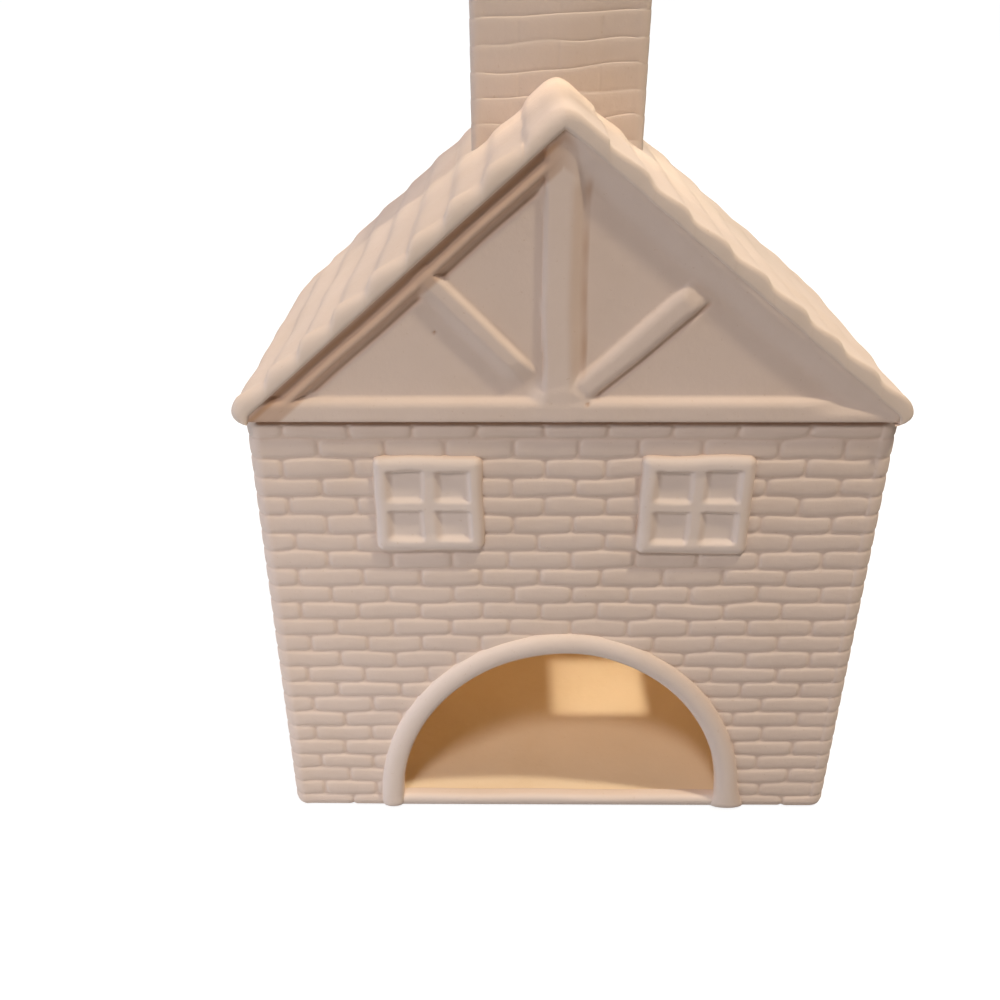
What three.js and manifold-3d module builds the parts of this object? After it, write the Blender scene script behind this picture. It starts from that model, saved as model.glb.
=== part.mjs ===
// House tea light holder in white bisque pottery.
// Millimetres, +Z up. The front faces -Y and the origin is under the middle of the roof's plan.
import * as THREE from 'three';
import { mergeVertices } from 'three/addons/utils/BufferGeometryUtils.js';
import Module from 'manifold-3d';

const wasm = await Module();
wasm.setup();

// Body
const bodyWidth = 154;
const bodyDepth = 96;
const wallHeight = 123.5;
const wallThickness = 4;
const floorThickness = 3.5;
const sillHeight = 4.8;

// Roof
const ridgeHeight = 193;
const ridgeShift = -3.5;
const eaveOverhang = 2.6;
const vergeOverhang = 2;
const eaveHeight = 126;
const roofThickness = 3.3;
const shingleRows = 9;
const shingleButt = 1.3;
const eaveNose = 1.2;

// Chimney
const chimneyWidth = 43;
const chimneyDepth = 40;
const chimneyTop = 230;
const chimneyWall = 4;
const chimneyFront = 0;
const chimneyShift = -2.7;
const flueLip = 1.5;
const blockLength = 20;
const blockHeight = 5.9;
const blockRelief = 0.4;
const blockJoint = 0.7;

// Brickwork
const brickLength = 15.3;
const brickCourses = 24;
const brickRelief = 0.6;
const brickJoint = 0.8;
const shortestBrick = 1.6;

// Mouth of the house
const mouthWidth = 90;
const mouthRise = 53;
const mouthSpring = 3.6;
const surroundWidth = 6.2;
const surroundRelief = 2.4;

// Windows
const windowRelief = 1.9;
const windowBar = 3.7;
const muntin = 3.6;
const paneFlare = 0.7;
const leftWindowX = -34.1;
const leftWindowZ = 101.8;
const leftWindowWidth = 26.5;
const leftWindowHeight = 26;
const rightWindowX = 30.5;
const rightWindowZ = 101.4;
const rightWindowWidth = 27.2;
const rightWindowHeight = 27.2;

// Half-timbering on the gables
const timberRelief = 1.8;
const timberSoftness = 1.2;
const tieHeight = 6;
const kingWidth = 9.2;
const braceWidth = 6.7;
const braceFootRise = 1.3;
const leftBraceAngle = 46;
const rightBraceAngle = 43;
const rafterWidth = 4.4;

// Fits
const clearance = 0.3;

const windowPlaces = [
  { name: 'window_left', x: leftWindowX, z: leftWindowZ, width: leftWindowWidth, height: leftWindowHeight },
  { name: 'window_right', x: rightWindowX, z: rightWindowZ, width: rightWindowWidth, height: rightWindowHeight },
];

const halfWidth = bodyWidth / 2;
const halfDepth = bodyDepth / 2;
const slabHalfWidth = halfWidth - brickRelief;
const slabHalfDepth = halfDepth - brickRelief;
const innerHalfWidth = halfWidth - wallThickness;
const innerHalfDepth = halfDepth - wallThickness;
const eaveHalfWidth = halfWidth + eaveOverhang;
const roofHalfDepth = halfDepth + vergeOverhang;

const bisque = (name, color, roughness) => {
  const material = new THREE.MeshStandardMaterial({ color, roughness, metalness: 0 });
  material.name = name;
  return material;
};
const wallClay = bisque('bisque_wall', 0xe3d3c6, 0.85);
const trimClay = bisque('bisque_trim', 0xe8dbd0, 0.8);
const roofClay = bisque('bisque_roof', 0xecd9c4, 0.85);
const innerClay = bisque('bisque_inner', 0xe0c9ae, 0.9);

// Solids and booleans

function solid(geometry) {
  const bare = geometry.clone();
  bare.deleteAttribute('normal');
  bare.deleteAttribute('uv');
  const merged = mergeVertices(bare, 1e-4);
  return new wasm.Manifold(new wasm.Mesh({
    numProp: 3,
    vertProperties: new Float32Array(merged.attributes.position.array),
    triVerts: new Uint32Array(merged.index.array),
  }));
}

function geometryOf(manifold) {
  const mesh = manifold.getMesh();
  const geometry = new THREE.BufferGeometry();
  geometry.setAttribute('position', new THREE.BufferAttribute(new Float32Array(mesh.vertProperties), 3));
  geometry.setIndex(new THREE.BufferAttribute(new Uint32Array(mesh.triVerts), 1));
  return geometry;
}

const union = (list) => list.reduce((sum, one) => sum.add(one));

function block(x0, x1, y0, y1, z0, z1) {
  const geometry = new THREE.BoxGeometry(x1 - x0, y1 - y0, z1 - z0);
  const position = geometry.attributes.position;
  for (let i = 0; i < position.count; i++) {
    position.setXYZ(
      i,
      position.getX(i) < 0 ? x0 : x1,
      position.getY(i) < 0 ? y0 : y1,
      position.getZ(i) < 0 ? z0 : z1,
    );
  }
  return solid(geometry);
}

// A drawing made on an upright face, x to the right and z up, becomes a solid from y0 back to y1.
function upright(points, y0, y1) {
  const geometry = new THREE.ExtrudeGeometry(new THREE.Shape(points), { depth: 1, bevelEnabled: false });
  const position = geometry.attributes.position;
  for (let i = 0; i < position.count; i++) {
    position.setXYZ(i, position.getX(i), position.getZ(i) > 0.5 ? y0 : y1, position.getY(i));
  }
  return solid(geometry);
}

// Raised ornament on the front face: flat back on the slab, soft edges in front.
function ornament(points, relief, softness) {
  const geometry = new THREE.ExtrudeGeometry(new THREE.Shape(points), {
    depth: relief,
    bevelEnabled: true,
    bevelThickness: softness,
    bevelSize: softness,
    bevelOffset: -softness,
    bevelSegments: 2,
  });
  const position = geometry.attributes.position;
  const face = -slabHalfDepth;
  for (let i = 0; i < position.count; i++) {
    position.setXYZ(i, position.getX(i), face - position.getZ(i) + softness, position.getY(i));
  }
  const reach = 2 * bodyWidth;
  return solid(geometry).subtract(block(-reach, reach, face, face + reach, -reach, reach));
}

const parts = new THREE.Group();

function place(name, manifold, material) {
  const mesh = new THREE.Mesh(geometryOf(manifold), material);
  mesh.name = name;
  parts.add(mesh);
}

const point = (x, z) => new THREE.Vector2(x, z);
const rectangle = (x0, x1, z0, z1) => [point(x0, z0), point(x1, z0), point(x1, z1), point(x0, z1)];

// Roof lines: side is -1 for the left slope and 1 for the right one.

function slope(side) {
  const run = eaveHalfWidth - side * ridgeShift;
  const rise = ridgeHeight - eaveHeight;
  const length = Math.hypot(run, rise);
  return { side, run, rise, length, along: [side * run / length, -rise / length] };
}

// The point that lies a distance down the slope from the ridge and a depth under its top line.
function onSlope(line, distance, depth) {
  const [ax, az] = line.along;
  const inward = [az * line.side, -ax * line.side];
  return point(ridgeShift + ax * distance + inward[0] * depth, ridgeHeight + az * distance + inward[1] * depth);
}

// Height of the line that lies a depth under the roof's top line, at a given x.
function underRoof(side, x, depth) {
  const line = slope(side);
  return ridgeHeight - depth * line.length / line.run - side * (x - ridgeShift) * line.rise / line.run;
}

function shingledSlope(side) {
  const line = slope(side);
  const row = line.length / shingleRows;
  const points = [point(ridgeShift, ridgeHeight)];
  for (let i = 1; i < shingleRows; i++) {
    points.push(onSlope(line, i * row, -shingleButt));
    points.push(onSlope(line, i * row, 0));
  }
  points.push(onSlope(line, line.length - eaveNose, -shingleButt));
  points.push(point(side * eaveHalfWidth, eaveHeight));
  points.push(point(side * eaveHalfWidth, eaveHeight - eaveNose));
  const noseX = side * (eaveHalfWidth - 2 * eaveNose);
  points.push(point(noseX, underRoof(side, noseX, roofThickness)));
  points.push(point(ridgeShift, underRoof(side, ridgeShift, roofThickness)));
  const ordered = side > 0 ? points.reverse() : points;
  return upright(ordered, -roofHalfDepth, roofHalfDepth);
}

const chimneyLeft = chimneyShift - chimneyWidth / 2;
const chimneyRight = chimneyShift + chimneyWidth / 2;
const chimneyBack = chimneyFront + chimneyDepth;
const chimneyFoot = Math.min(
  underRoof(-1, chimneyLeft, roofThickness),
  underRoof(1, chimneyRight, roofThickness),
) - flueLip;

function chimneyStack() {
  const skin = blockRelief;
  const outer = block(
    chimneyLeft + skin, chimneyRight - skin, chimneyFront + skin, chimneyBack - skin,
    chimneyFoot, chimneyTop,
  );
  const blocks = [];
  const courses = Math.floor((chimneyTop - chimneyFoot) / blockHeight);
  for (let i = 0; i < courses; i++) {
    const top = chimneyTop - i * blockHeight;
    const bottom = Math.max(top - blockHeight + blockJoint, chimneyFoot);
    const cuts = i % 2 === 0 ? [-blockLength / 2, blockLength / 2] : [0];
    const edgesX = [-chimneyWidth, ...cuts, chimneyWidth].map((c) => c + chimneyShift);
    const edgesY = [-chimneyDepth, ...cuts, chimneyDepth].map((c) => c + (chimneyFront + chimneyBack) / 2);
    for (let k = 0; k + 1 < edgesX.length; k++) {
      const x0 = Math.max(edgesX[k] + blockJoint / 2, chimneyLeft + skin);
      const x1 = Math.min(edgesX[k + 1] - blockJoint / 2, chimneyRight - skin);
      blocks.push(block(x0, x1, chimneyFront, chimneyBack, bottom, top));
      const y0 = Math.max(edgesY[k] + blockJoint / 2, chimneyFront + skin);
      const y1 = Math.min(edgesY[k + 1] - blockJoint / 2, chimneyBack - skin);
      blocks.push(block(chimneyLeft, chimneyRight, y0, y1, bottom, top));
    }
  }
  const flue = block(
    chimneyLeft + chimneyWall, chimneyRight - chimneyWall,
    chimneyFront + chimneyWall, chimneyBack - chimneyWall,
    chimneyFoot - chimneyWall, chimneyTop + chimneyWall,
  );
  return union([outer, ...blocks]).subtract(flue);
}

// Brickwork: running bond on an upright face that lies a given distance in front of the origin.

function brickPads(width, distance) {
  const rowHeight = wallHeight / brickCourses;
  const pads = [];
  const half = width / 2;
  for (let i = 0; i < brickCourses; i++) {
    const z0 = i * rowHeight + brickJoint / 2;
    const z1 = (i + 1) * rowHeight - brickJoint / 2;
    const start = i % 2 === 0 ? -half : -half - brickLength / 2;
    for (let x = start; x < half; x += brickLength) {
      const x0 = Math.max(x + brickJoint / 2, -half);
      const x1 = Math.min(x + brickLength - brickJoint / 2, half);
      if (x1 - x0 > shortestBrick) {
        pads.push(block(x0, x1, -distance, -distance + 2 * brickRelief, z0, z1));
      }
    }
  }
  return union(pads);
}

// Mouth: a half ellipse that springs just above the floor.

const mouthSteps = 28;

function mouthLine(grow, foot) {
  const points = [point(-mouthWidth / 2 - grow, foot)];
  for (let i = 0; i <= mouthSteps; i++) {
    const angle = Math.PI * (1 - i / mouthSteps);
    points.push(point(
      (mouthWidth / 2 + grow) * Math.cos(angle),
      mouthSpring + (mouthRise + grow) * Math.sin(angle),
    ));
  }
  points.push(point(mouthWidth / 2 + grow, foot));
  return points;
}

function windowEdge(window, grow) {
  const halfX = window.width / 2 + grow;
  const halfZ = window.height / 2 + grow;
  return rectangle(window.x - halfX, window.x + halfX, window.z - halfZ, window.z + halfZ);
}

function frontWall() {
  const reach = bodyWidth;
  const slab = block(-slabHalfWidth, slabHalfWidth, -slabHalfDepth, -innerHalfDepth, 0, wallHeight);
  const mouth = upright(mouthLine(0, 0), -reach, reach)
    .intersect(block(-reach, reach, -reach, reach, sillHeight, reach));
  const underSurround = upright(mouthLine(surroundWidth + clearance, -1), -reach, -slabHalfDepth);
  const underWindows = windowPlaces.map((w) => upright(windowEdge(w, clearance), -reach, -slabHalfDepth));
  const bricks = brickPads(bodyWidth, halfDepth).subtract(mouth);
  return slab.subtract(mouth).add(bricks).subtract(underSurround).subtract(union(underWindows));
}

function backWall() {
  const slab = block(-slabHalfWidth, slabHalfWidth, -slabHalfDepth, -innerHalfDepth, 0, wallHeight);
  return slab.add(brickPads(bodyWidth, halfDepth)).rotate([0, 0, 180]);
}

function sideWall(side) {
  const x0 = side * innerHalfWidth;
  const x1 = side * slabHalfWidth;
  const cover = roofThickness + clearance;
  const section = [
    point(x0, 0), point(x1, 0),
    point(x1, underRoof(side, x1, cover)), point(x0, underRoof(side, x0, cover)),
  ];
  const slab = upright(side > 0 ? section : section.reverse(), -innerHalfDepth, innerHalfDepth);
  return slab.add(brickPads(2 * innerHalfDepth, halfWidth).rotate([0, 0, side * 90]));
}

// Gables

const timberTop = roofThickness + clearance;
const timberFoot = timberTop + rafterWidth;
const panelTop = timberFoot + clearance;
const tieTop = wallHeight + tieHeight;

// The x at which the line that lies a depth under the roof comes down to a height.
function whereRoofMeets(side, height, depth) {
  const line = slope(side);
  const drop = ridgeHeight - depth * line.length / line.run - height;
  return ridgeShift + side * drop * line.run / line.rise;
}

function gablePanel() {
  const left = underRoof(-1, -slabHalfWidth, timberTop);
  const right = underRoof(1, slabHalfWidth, timberTop);
  return upright([
    point(-slabHalfWidth, wallHeight), point(slabHalfWidth, wallHeight),
    point(slabHalfWidth, right), point(ridgeShift, underRoof(1, ridgeShift, timberTop)),
    point(-slabHalfWidth, left),
  ], -slabHalfDepth, -innerHalfDepth);
}

function tieBeam() {
  return ornament([
    point(whereRoofMeets(-1, wallHeight, panelTop), wallHeight),
    point(whereRoofMeets(1, wallHeight, panelTop), wallHeight),
    point(whereRoofMeets(1, tieTop, panelTop), tieTop),
    point(whereRoofMeets(-1, tieTop, panelTop), tieTop),
  ], timberRelief, timberSoftness);
}

function kingPost() {
  const left = ridgeShift - kingWidth / 2;
  const right = ridgeShift + kingWidth / 2;
  return ornament([
    point(left, tieTop + clearance), point(right, tieTop + clearance),
    point(right, underRoof(1, right, panelTop)),
    point(ridgeShift, Math.min(underRoof(1, ridgeShift, panelTop), underRoof(-1, ridgeShift, panelTop))),
    point(left, underRoof(-1, left, panelTop)),
  ], timberRelief, timberSoftness);
}

function rafter(side) {
  const line = slope(side);
  const spare = rafterWidth;
  const band = [
    onSlope(line, -spare, timberTop), onSlope(line, -spare, timberFoot),
    onSlope(line, line.length + spare, timberFoot), onSlope(line, line.length + spare, timberTop),
  ];
  const mitre = ridgeShift + side * clearance / 2;
  const end = side * slabHalfWidth;
  return ornament(side > 0 ? band : band.reverse(), timberRelief, timberSoftness)
    .intersect(block(Math.min(mitre, end), Math.max(mitre, end), -bodyDepth, 0, wallHeight, ridgeHeight));
}

function brace(side, angle) {
  const footX = ridgeShift + side * kingWidth / 2;
  const footZ = tieTop + braceFootRise;
  const turn = THREE.MathUtils.degToRad(angle);
  const along = point(side * Math.cos(turn), Math.sin(turn));
  const across = point(-along.y, along.x).multiplyScalar(side * braceWidth / 2);
  const foot = point(footX, footZ).addScaledVector(along, -braceWidth);
  const head = point(footX, footZ).addScaledVector(along, bodyWidth / 2);
  const band = [
    foot.clone().sub(across), head.clone().sub(across), head.clone().add(across), foot.clone().add(across),
  ];
  const cornerX = footX + side * clearance;
  const cornerZ = tieTop + clearance;
  const panel = [
    point(cornerX, cornerZ),
    point(whereRoofMeets(side, cornerZ, panelTop), cornerZ),
    point(cornerX, underRoof(side, cornerX, panelTop)),
  ];
  return ornament(side > 0 ? band : band.reverse(), timberRelief, timberSoftness)
    .intersect(upright(side > 0 ? panel : panel.reverse(), -bodyDepth, 0));
}

function archSurround() {
  const outer = mouthLine(surroundWidth, 0);
  const inner = mouthLine(0, 0).reverse();
  return ornament([...outer, ...inner].reverse(), surroundRelief, surroundWidth / 3);
}

// A pane sunk into the frame: its mouth is wider than its bed by a flare on every side.
function panePit(x, z, width, height, flare) {
  const geometry = new THREE.BoxGeometry(width, 2 * windowRelief, height);
  const position = geometry.attributes.position;
  for (let i = 0; i < position.count; i++) {
    const grow = position.getY(i) < 0 ? 2 * flare : 0;
    position.setXYZ(
      i,
      x + position.getX(i) + Math.sign(position.getX(i)) * grow,
      position.getY(i) - slabHalfDepth,
      z + position.getZ(i) + Math.sign(position.getZ(i)) * grow,
    );
  }
  return solid(geometry);
}

function windowFrame(window) {
  const paneWidth = (window.width - 2 * windowBar - muntin) / 2;
  const paneHeight = (window.height - 2 * windowBar - muntin) / 2;
  const panes = [];
  for (const sideX of [-1, 1]) {
    for (const sideZ of [-1, 1]) {
      const x = window.x + sideX * (muntin + paneWidth) / 2;
      const z = window.z + sideZ * (muntin + paneHeight) / 2;
      panes.push(panePit(x, z, paneWidth, paneHeight, paneFlare));
    }
  }
  return ornament(windowEdge(window, 0), windowRelief, windowBar / 3).subtract(union(panes));
}

// Assembly

place('floor', block(-innerHalfWidth, innerHalfWidth, -innerHalfDepth, innerHalfDepth, 0, floorThickness), innerClay);
place('front_wall', frontWall(), wallClay);
place('back_wall', backWall(), wallClay);
place('wall_left', sideWall(-1), wallClay);
place('wall_right', sideWall(1), wallClay);
place('arch_surround', archSurround(), trimClay);
for (const window of windowPlaces) {
  place(window.name, windowFrame(window), trimClay);
}

// The half-timbering is the same on both gables, so the back one is the front one mirrored.
const gable = {
  gable_panel: gablePanel(),
  tie_beam: tieBeam(),
  king_post: kingPost(),
  rafter_left: rafter(-1),
  rafter_right: rafter(1),
  brace_left: brace(-1, leftBraceAngle),
  brace_right: brace(1, rightBraceAngle),
};
const mirroredAcrossDepth = (manifold) => manifold.mirror([0, 1, 0]);
for (const [name, manifold] of Object.entries(gable)) {
  const clay = name === 'gable_panel' ? wallClay : trimClay;
  place(`${name}_front`, manifold, clay);
  place(`${name}_back`, mirroredAcrossDepth(manifold), clay);
}

const chimneyHole = block(
  chimneyLeft, chimneyRight, chimneyFront, chimneyBack, chimneyFoot - bodyWidth, chimneyTop,
);
place('roof_left', shingledSlope(-1).subtract(chimneyHole), roofClay);
place('roof_right', shingledSlope(1).subtract(chimneyHole), roofClay);
place('chimney', chimneyStack(), wallClay);

export default parts;
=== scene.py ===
# House tea light holder in white bisque pottery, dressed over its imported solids.
# Shapes are drawn in millimetres and turned into metres when a mesh is made.
import math

import bpy
import numpy as np
from mathutils import Matrix, Vector
from mathutils.geometry import delaunay_2d_cdt


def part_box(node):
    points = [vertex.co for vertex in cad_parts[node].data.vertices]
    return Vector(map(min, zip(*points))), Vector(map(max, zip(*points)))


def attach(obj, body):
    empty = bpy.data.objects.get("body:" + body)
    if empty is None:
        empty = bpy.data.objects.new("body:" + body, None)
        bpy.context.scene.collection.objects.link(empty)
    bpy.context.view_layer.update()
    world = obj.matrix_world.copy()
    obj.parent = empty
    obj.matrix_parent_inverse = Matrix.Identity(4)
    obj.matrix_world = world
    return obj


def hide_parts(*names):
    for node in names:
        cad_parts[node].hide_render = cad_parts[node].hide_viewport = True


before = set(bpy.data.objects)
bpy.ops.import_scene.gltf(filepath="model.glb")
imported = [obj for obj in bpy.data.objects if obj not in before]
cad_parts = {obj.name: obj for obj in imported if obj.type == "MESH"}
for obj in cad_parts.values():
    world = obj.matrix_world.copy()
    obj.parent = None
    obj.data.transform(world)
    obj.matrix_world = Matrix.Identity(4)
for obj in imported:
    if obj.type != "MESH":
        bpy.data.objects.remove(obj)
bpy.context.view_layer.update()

MM = 0.001
BODY = "root"


def solid_box(node):
    """Lowest and highest corners of one of the solids, in millimetres."""
    return [[round(float(c) / MM, 3) for c in corner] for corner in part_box(node)]


# Sizes read off the solids
(_, front, _), (HALF_WIDTH, back, WALL_TOP) = solid_box("front_wall")
HALF_DEPTH = -front
WALL = back - front
ROOM_X = HALF_WIDTH - WALL
ROOM_Y = HALF_DEPTH - WALL
(RIDGE_X, _, _), (EAVE_X, VERGE_Y, RIDGE_Z) = solid_box("roof_right")
CHIMNEY_X, CHIMNEY_Y, (CHIMNEY_FOOT, CHIMNEY_TOP) = zip(*solid_box("chimney"))
FLOOR = solid_box("floor")[1][2]

# Sizes that the solids share but don't show in their boxes
EAVE_Z = 126
ROOF_THICK = 3.3
ROWS = 9
MOUTH_HALF = 45
MOUTH_RISE = 53
MOUTH_SPRING = 3.6
SILL = 4.8
PANEL_Y = 47.4


# Small mathematics


def unit(x):
    return np.clip(x, 0, 1)


def smooth(x, low, high):
    t = unit((x - low) / (high - low))
    return t * t * (3 - 2 * t)


def shoulder(x, width):
    """0 at an edge, rising to 1 over a width, as a quarter round does."""
    t = 1 - unit(x / width)
    return np.sqrt(np.maximum(1 - t * t, 0))


def bell(x, width):
    return np.exp(-((x / width) ** 2))


def soft_max(a, b, blend):
    h = unit(0.5 + 0.5 * (a - b) / blend)
    return b + (a - b) * h + blend * h * (1 - h)


def inside_box(u, v, half_u, half_v, radius):
    """Distance inside the edge of a rectangle with rounded corners, negative outside it."""
    qu = np.abs(u) - half_u + radius
    qv = np.abs(v) - half_v + radius
    outer = np.hypot(np.maximum(qu, 0), np.maximum(qv, 0))
    return radius - outer - np.minimum(np.maximum(qu, qv), 0)


def bezier(t, *points):
    """The place on a curve from the first point to the last, pulled towards those between."""
    last = len(points) - 1
    return sum(math.comb(last, k) * (1 - t) ** (last - k) * t**k * p for k, p in enumerate(points))


def grid(a, b):
    return np.meshgrid(a, b, indexing="ij")


def between(x, span, inset):
    return (x > span[0] + inset) & (x < span[1] - inset)


def ripple(seed, length_u, length_v, waves=16):
    """A smooth random field of about unit size, with a typical wavelength each way."""
    rng = np.random.default_rng(seed)
    turn = rng.uniform(0, math.tau, waves)
    rate = rng.uniform(0.5, 1.5, waves)
    phase = rng.uniform(0, math.tau, waves)
    ku = math.tau / length_u * rate * np.cos(turn)
    kv = math.tau / length_v * rate * np.sin(turn)

    def field(u, v):
        total = np.zeros(np.broadcast(u, v).shape)
        for a, b, c in zip(ku, kv, phase):
            total = total + np.cos(a * u + b * v + c)
        return total / math.sqrt(waves / 2)

    return field


def chance(seed, a, b):
    """A repeatable random number from 0 to 1 for each pair of whole numbers."""
    size, step_a, step_b = 4093, 131, 17
    table = np.random.default_rng(seed).uniform(0, 1, size)
    return table[(np.asarray(a, int) * step_a + np.asarray(b, int) * step_b) % size]


# Points


def placed(*parts):
    """Points from their coordinates, each a number or an array that fits the others."""
    return np.stack(np.broadcast_arrays(*parts), axis=-1)


def turned(points, quarter):
    """Points turned about the upright axis by quarter turns."""
    x, y = points[..., 0], points[..., 1]
    for _ in range(quarter):
        x, y = -y, x
    return placed(x, y, points[..., 2])


def round_corner(half, distance, radius, sink, bend, heights):
    """An upright rounded corner that sinks in by a given depth."""
    reach = radius - sink
    x = half - radius + reach * np.sin(bend)[:, None]
    return placed(x, radius - distance - reach * np.cos(bend)[:, None], heights)


def inner_line(columns, bend, half, distance, radius):
    """The plain inside line of one wall and of the corner that follows it."""
    flat = placed(columns / -columns[0] * (half - radius), -distance, 0)
    return np.vstack([flat, round_corner(half, distance, radius, 0, bend, 0)[:, 0]])


def lines_near(centres, offsets, low, high, widest, closest=0.09):
    """Grid lines that crowd round joints, with no gap wider than asked between them."""
    spots = sorted({low, high} | {c + o for c in centres for o in offsets if low < c + o < high})
    kept = [spots[0]]
    for s in spots[1:]:
        gap = s - kept[-1]
        if gap >= closest:
            parts = math.ceil(gap / widest - 1e-6)
            kept += [kept[-1] + gap * (k + 1) / parts for k in range(parts)]
    kept[-1] = high
    return np.array(kept)


# Meshes


class Shell:
    """Points and faces of one piece while it is drawn."""

    def __init__(self):
        self.points = np.zeros((0, 3))
        self.hollow = np.zeros(0)
        self.faces = []

    def add(self, points, hollow=0):
        flat = points.reshape(-1, 3)
        first = len(self.points)
        self.points = np.vstack([self.points, flat])
        marks = np.broadcast_to(hollow, points.shape[:-1]).reshape(-1)
        self.hollow = np.hstack([self.hollow, marks])
        return (first + np.arange(len(flat))).reshape(points.shape[:-1])

    def skin(self, index, keep=None, flip=False):
        """Four-sided faces over a grid of point numbers."""
        a, b = index[:-1, :-1], index[1:, :-1]
        c, d = index[1:, 1:], index[:-1, 1:]
        quads = np.stack([a, b, c, d], axis=-1)
        quads = quads[keep] if keep is not None else quads.reshape(-1, 4)
        if flip:
            quads = quads[:, ::-1]
        self.faces.extend(quads.tolist())
        return quads

    def strip(self, one, two, closed=False):
        """Faces between two rows of the same number of points."""
        count = len(one)
        for i in range(count if closed else count - 1):
            j = (i + 1) % count
            self.faces.append([one[i], one[j], two[j], two[i]])

    def carry(self, loop, axis, level):
        """Carries a closed row of points to a plane across an axis, with faces between."""
        far = self.points[loop].copy()
        far[:, axis] = level
        index = self.add(far)
        self.strip(loop[::-1], index[::-1], closed=True)
        return index

    def fill(self, loops, axis, inside, flip=False):
        """Flat faces between closed rows of points that lie in a plane across an axis."""
        keep = [k for k in range(3) if k != axis]
        numbers = np.concatenate(loops)
        flat = [Vector(self.points[n][keep]) for n in numbers]
        edges, start = [], 0
        for loop in loops:
            size = len(loop)
            edges += [(start + i, start + (i + 1) % size) for i in range(size)]
            start += size
        spots, _, faces, origin, _, _ = delaunay_2d_cdt(flat, edges, [], 0, 1e-7)
        real = [numbers[o[0]] if o else None for o in origin]
        for face in faces:
            centre = sum((spots[k] for k in face), Vector((0, 0))) / len(face)
            if inside(centre.x, centre.y) and all(real[k] is not None for k in face):
                order = [int(real[k]) for k in face]
                self.faces.append(order[::-1] if flip else order)

    def sweep(self, index, flip=False):
        """A closed tube over a grid of point numbers, with a face over each end."""
        self.skin(np.hstack([index, index[:, :1]]), flip=flip)
        for row, back in ((index[0], not flip), (index[-1], flip)):
            self.faces.append(row[::-1].tolist() if back else row.tolist())


def border(quads):
    """The closed rows of point numbers round the faces given, in the faces' own sense."""
    starts = quads.reshape(-1)
    ends = np.roll(quads, -1, axis=1).reshape(-1)
    size = int(quads.max()) + 1
    forward = starts.astype(np.int64) * size + ends
    backward = ends.astype(np.int64) * size + starts
    open_edges = ~np.isin(forward, backward)
    follow = dict(zip(starts[open_edges].tolist(), ends[open_edges].tolist()))
    loops = []
    while follow:
        first, at = next(iter(follow.items()))
        loop = [first]
        del follow[first]
        while at != first:
            loop.append(at)
            at = follow.pop(at)
        loops.append(np.array(loop))
    return sorted(loops, key=len, reverse=True)


def close_flat(shell, quads, axis, level, inside=lambda u, v: True, flip=True):
    """Carries the border of a skin back to a plane and closes it there."""
    back = [shell.carry(loop, axis, level) for loop in border(quads)]
    shell.fill(back, axis, inside, flip)


def line_inside(mesh, lining):
    """Gives the faces that look into the chamber or the flue the inner clay, set lighter and warmer as
    painted light for the glow inside.
    """
    slack, flue_end = 0.02, CHIMNEY_TOP - 3
    mesh.materials.append(lining)
    centres = np.zeros(3 * len(mesh.polygons))
    mesh.polygons.foreach_get("center", centres)
    x, y, z = (centres.reshape(-1, 3) / MM).T
    room = (np.abs(x) < ROOM_X + slack) & (np.abs(y) < ROOM_Y + slack)
    room = room & (depth_under_roof(x, z) > ROOF_THICK - 0.05)
    flue = between(x, CHIMNEY_X, WALL - slack) & between(y, CHIMNEY_Y, WALL - slack) & (z < flue_end)
    mesh.polygons.foreach_set("material_index", (room | flue).astype(np.int32))


def new_object(name, data):
    thing = bpy.data.objects.new(name, data)
    bpy.context.scene.collection.objects.link(thing)
    return thing


def make_piece(name, shell, material, nodes, lining=None, sharp=50):
    """A Blender object from a drawn shell, riding on the body and standing for its nodes."""
    mesh = bpy.data.meshes.new(name)
    mesh.from_pydata((shell.points * MM).tolist(), [], shell.faces)
    mark = mesh.attributes.new("hollow", "FLOAT", "POINT")
    mark.data.foreach_set("value", shell.hollow.astype(np.float32))
    mesh.validate()
    mesh.shade_smooth()
    mesh.set_sharp_from_angle(angle=math.radians(sharp))
    mesh.materials.append(material)
    if lining:
        line_inside(mesh, lining)
    piece = new_object(name, mesh)
    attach(piece, BODY)
    if nodes:
        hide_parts(*nodes)


# Roof lines


def slope_of(side):
    """Run, rise and length of one slope: -1 is the left one and 1 the right one."""
    run = EAVE_X - side * RIDGE_X
    rise = RIDGE_Z - EAVE_Z
    return run, rise, np.hypot(run, rise)


def under_roof(side, x, depth):
    run, rise, length = slope_of(side)
    return RIDGE_Z - depth * length / run - side * (x - RIDGE_X) * rise / run


def depth_under_roof(x, z):
    """Distance under the roof's top line, measured square to it."""
    side = np.where(x < RIDGE_X, -1, 1)
    run, _, length = slope_of(side)
    return (under_roof(side, x, 0) - z) * run / length


# Brickwork

COURSES = 24
# The joint under the top course, the other courses' height, and a brick's length
TOP_BED = WALL_TOP - 4.3
COURSE = TOP_BED / (COURSES - 1)
BRICK = 15.3
# Half the joint's floor, and a brick's rounded edge and corners
JOINT_HALF = 0.12
BRICK_EDGE = 1.05
BRICK_CORNER = 1.7
# The joints' depth, and the share of it that goes round the body's corners
RELIEF = 0.56
CORNER_RELIEF = 0.5
# A brick's crown, and how much deeper than its neighbours it may lie
CROWN = 0.13
OWN_DEPTH = 0.16
# Dirt and painted shade in the joints, and how closely they keep to their floor
JOINT_DIRT_AND_SHADE = 0.22
DIRT_AND_SHADE_POWER = 5
# Stray of the bricks, rise and fall of the courses, and slow waves of the face
BRICK_STRAY = 0.6
COURSE_WAVE = 0.16
WALL_WAVE = 0.12
# How far the brick faces stay inside the solid
SKIN = 0.12
# The body's upright corners, inside and out, and its rounded foot
CORNER = 4
ROOM_CORNER = 2
FOOT_ROUND = 3
# On the front, the bricks beyond this place are a little longer
STRETCH_FROM = 40
STRETCH = 0.1
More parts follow.
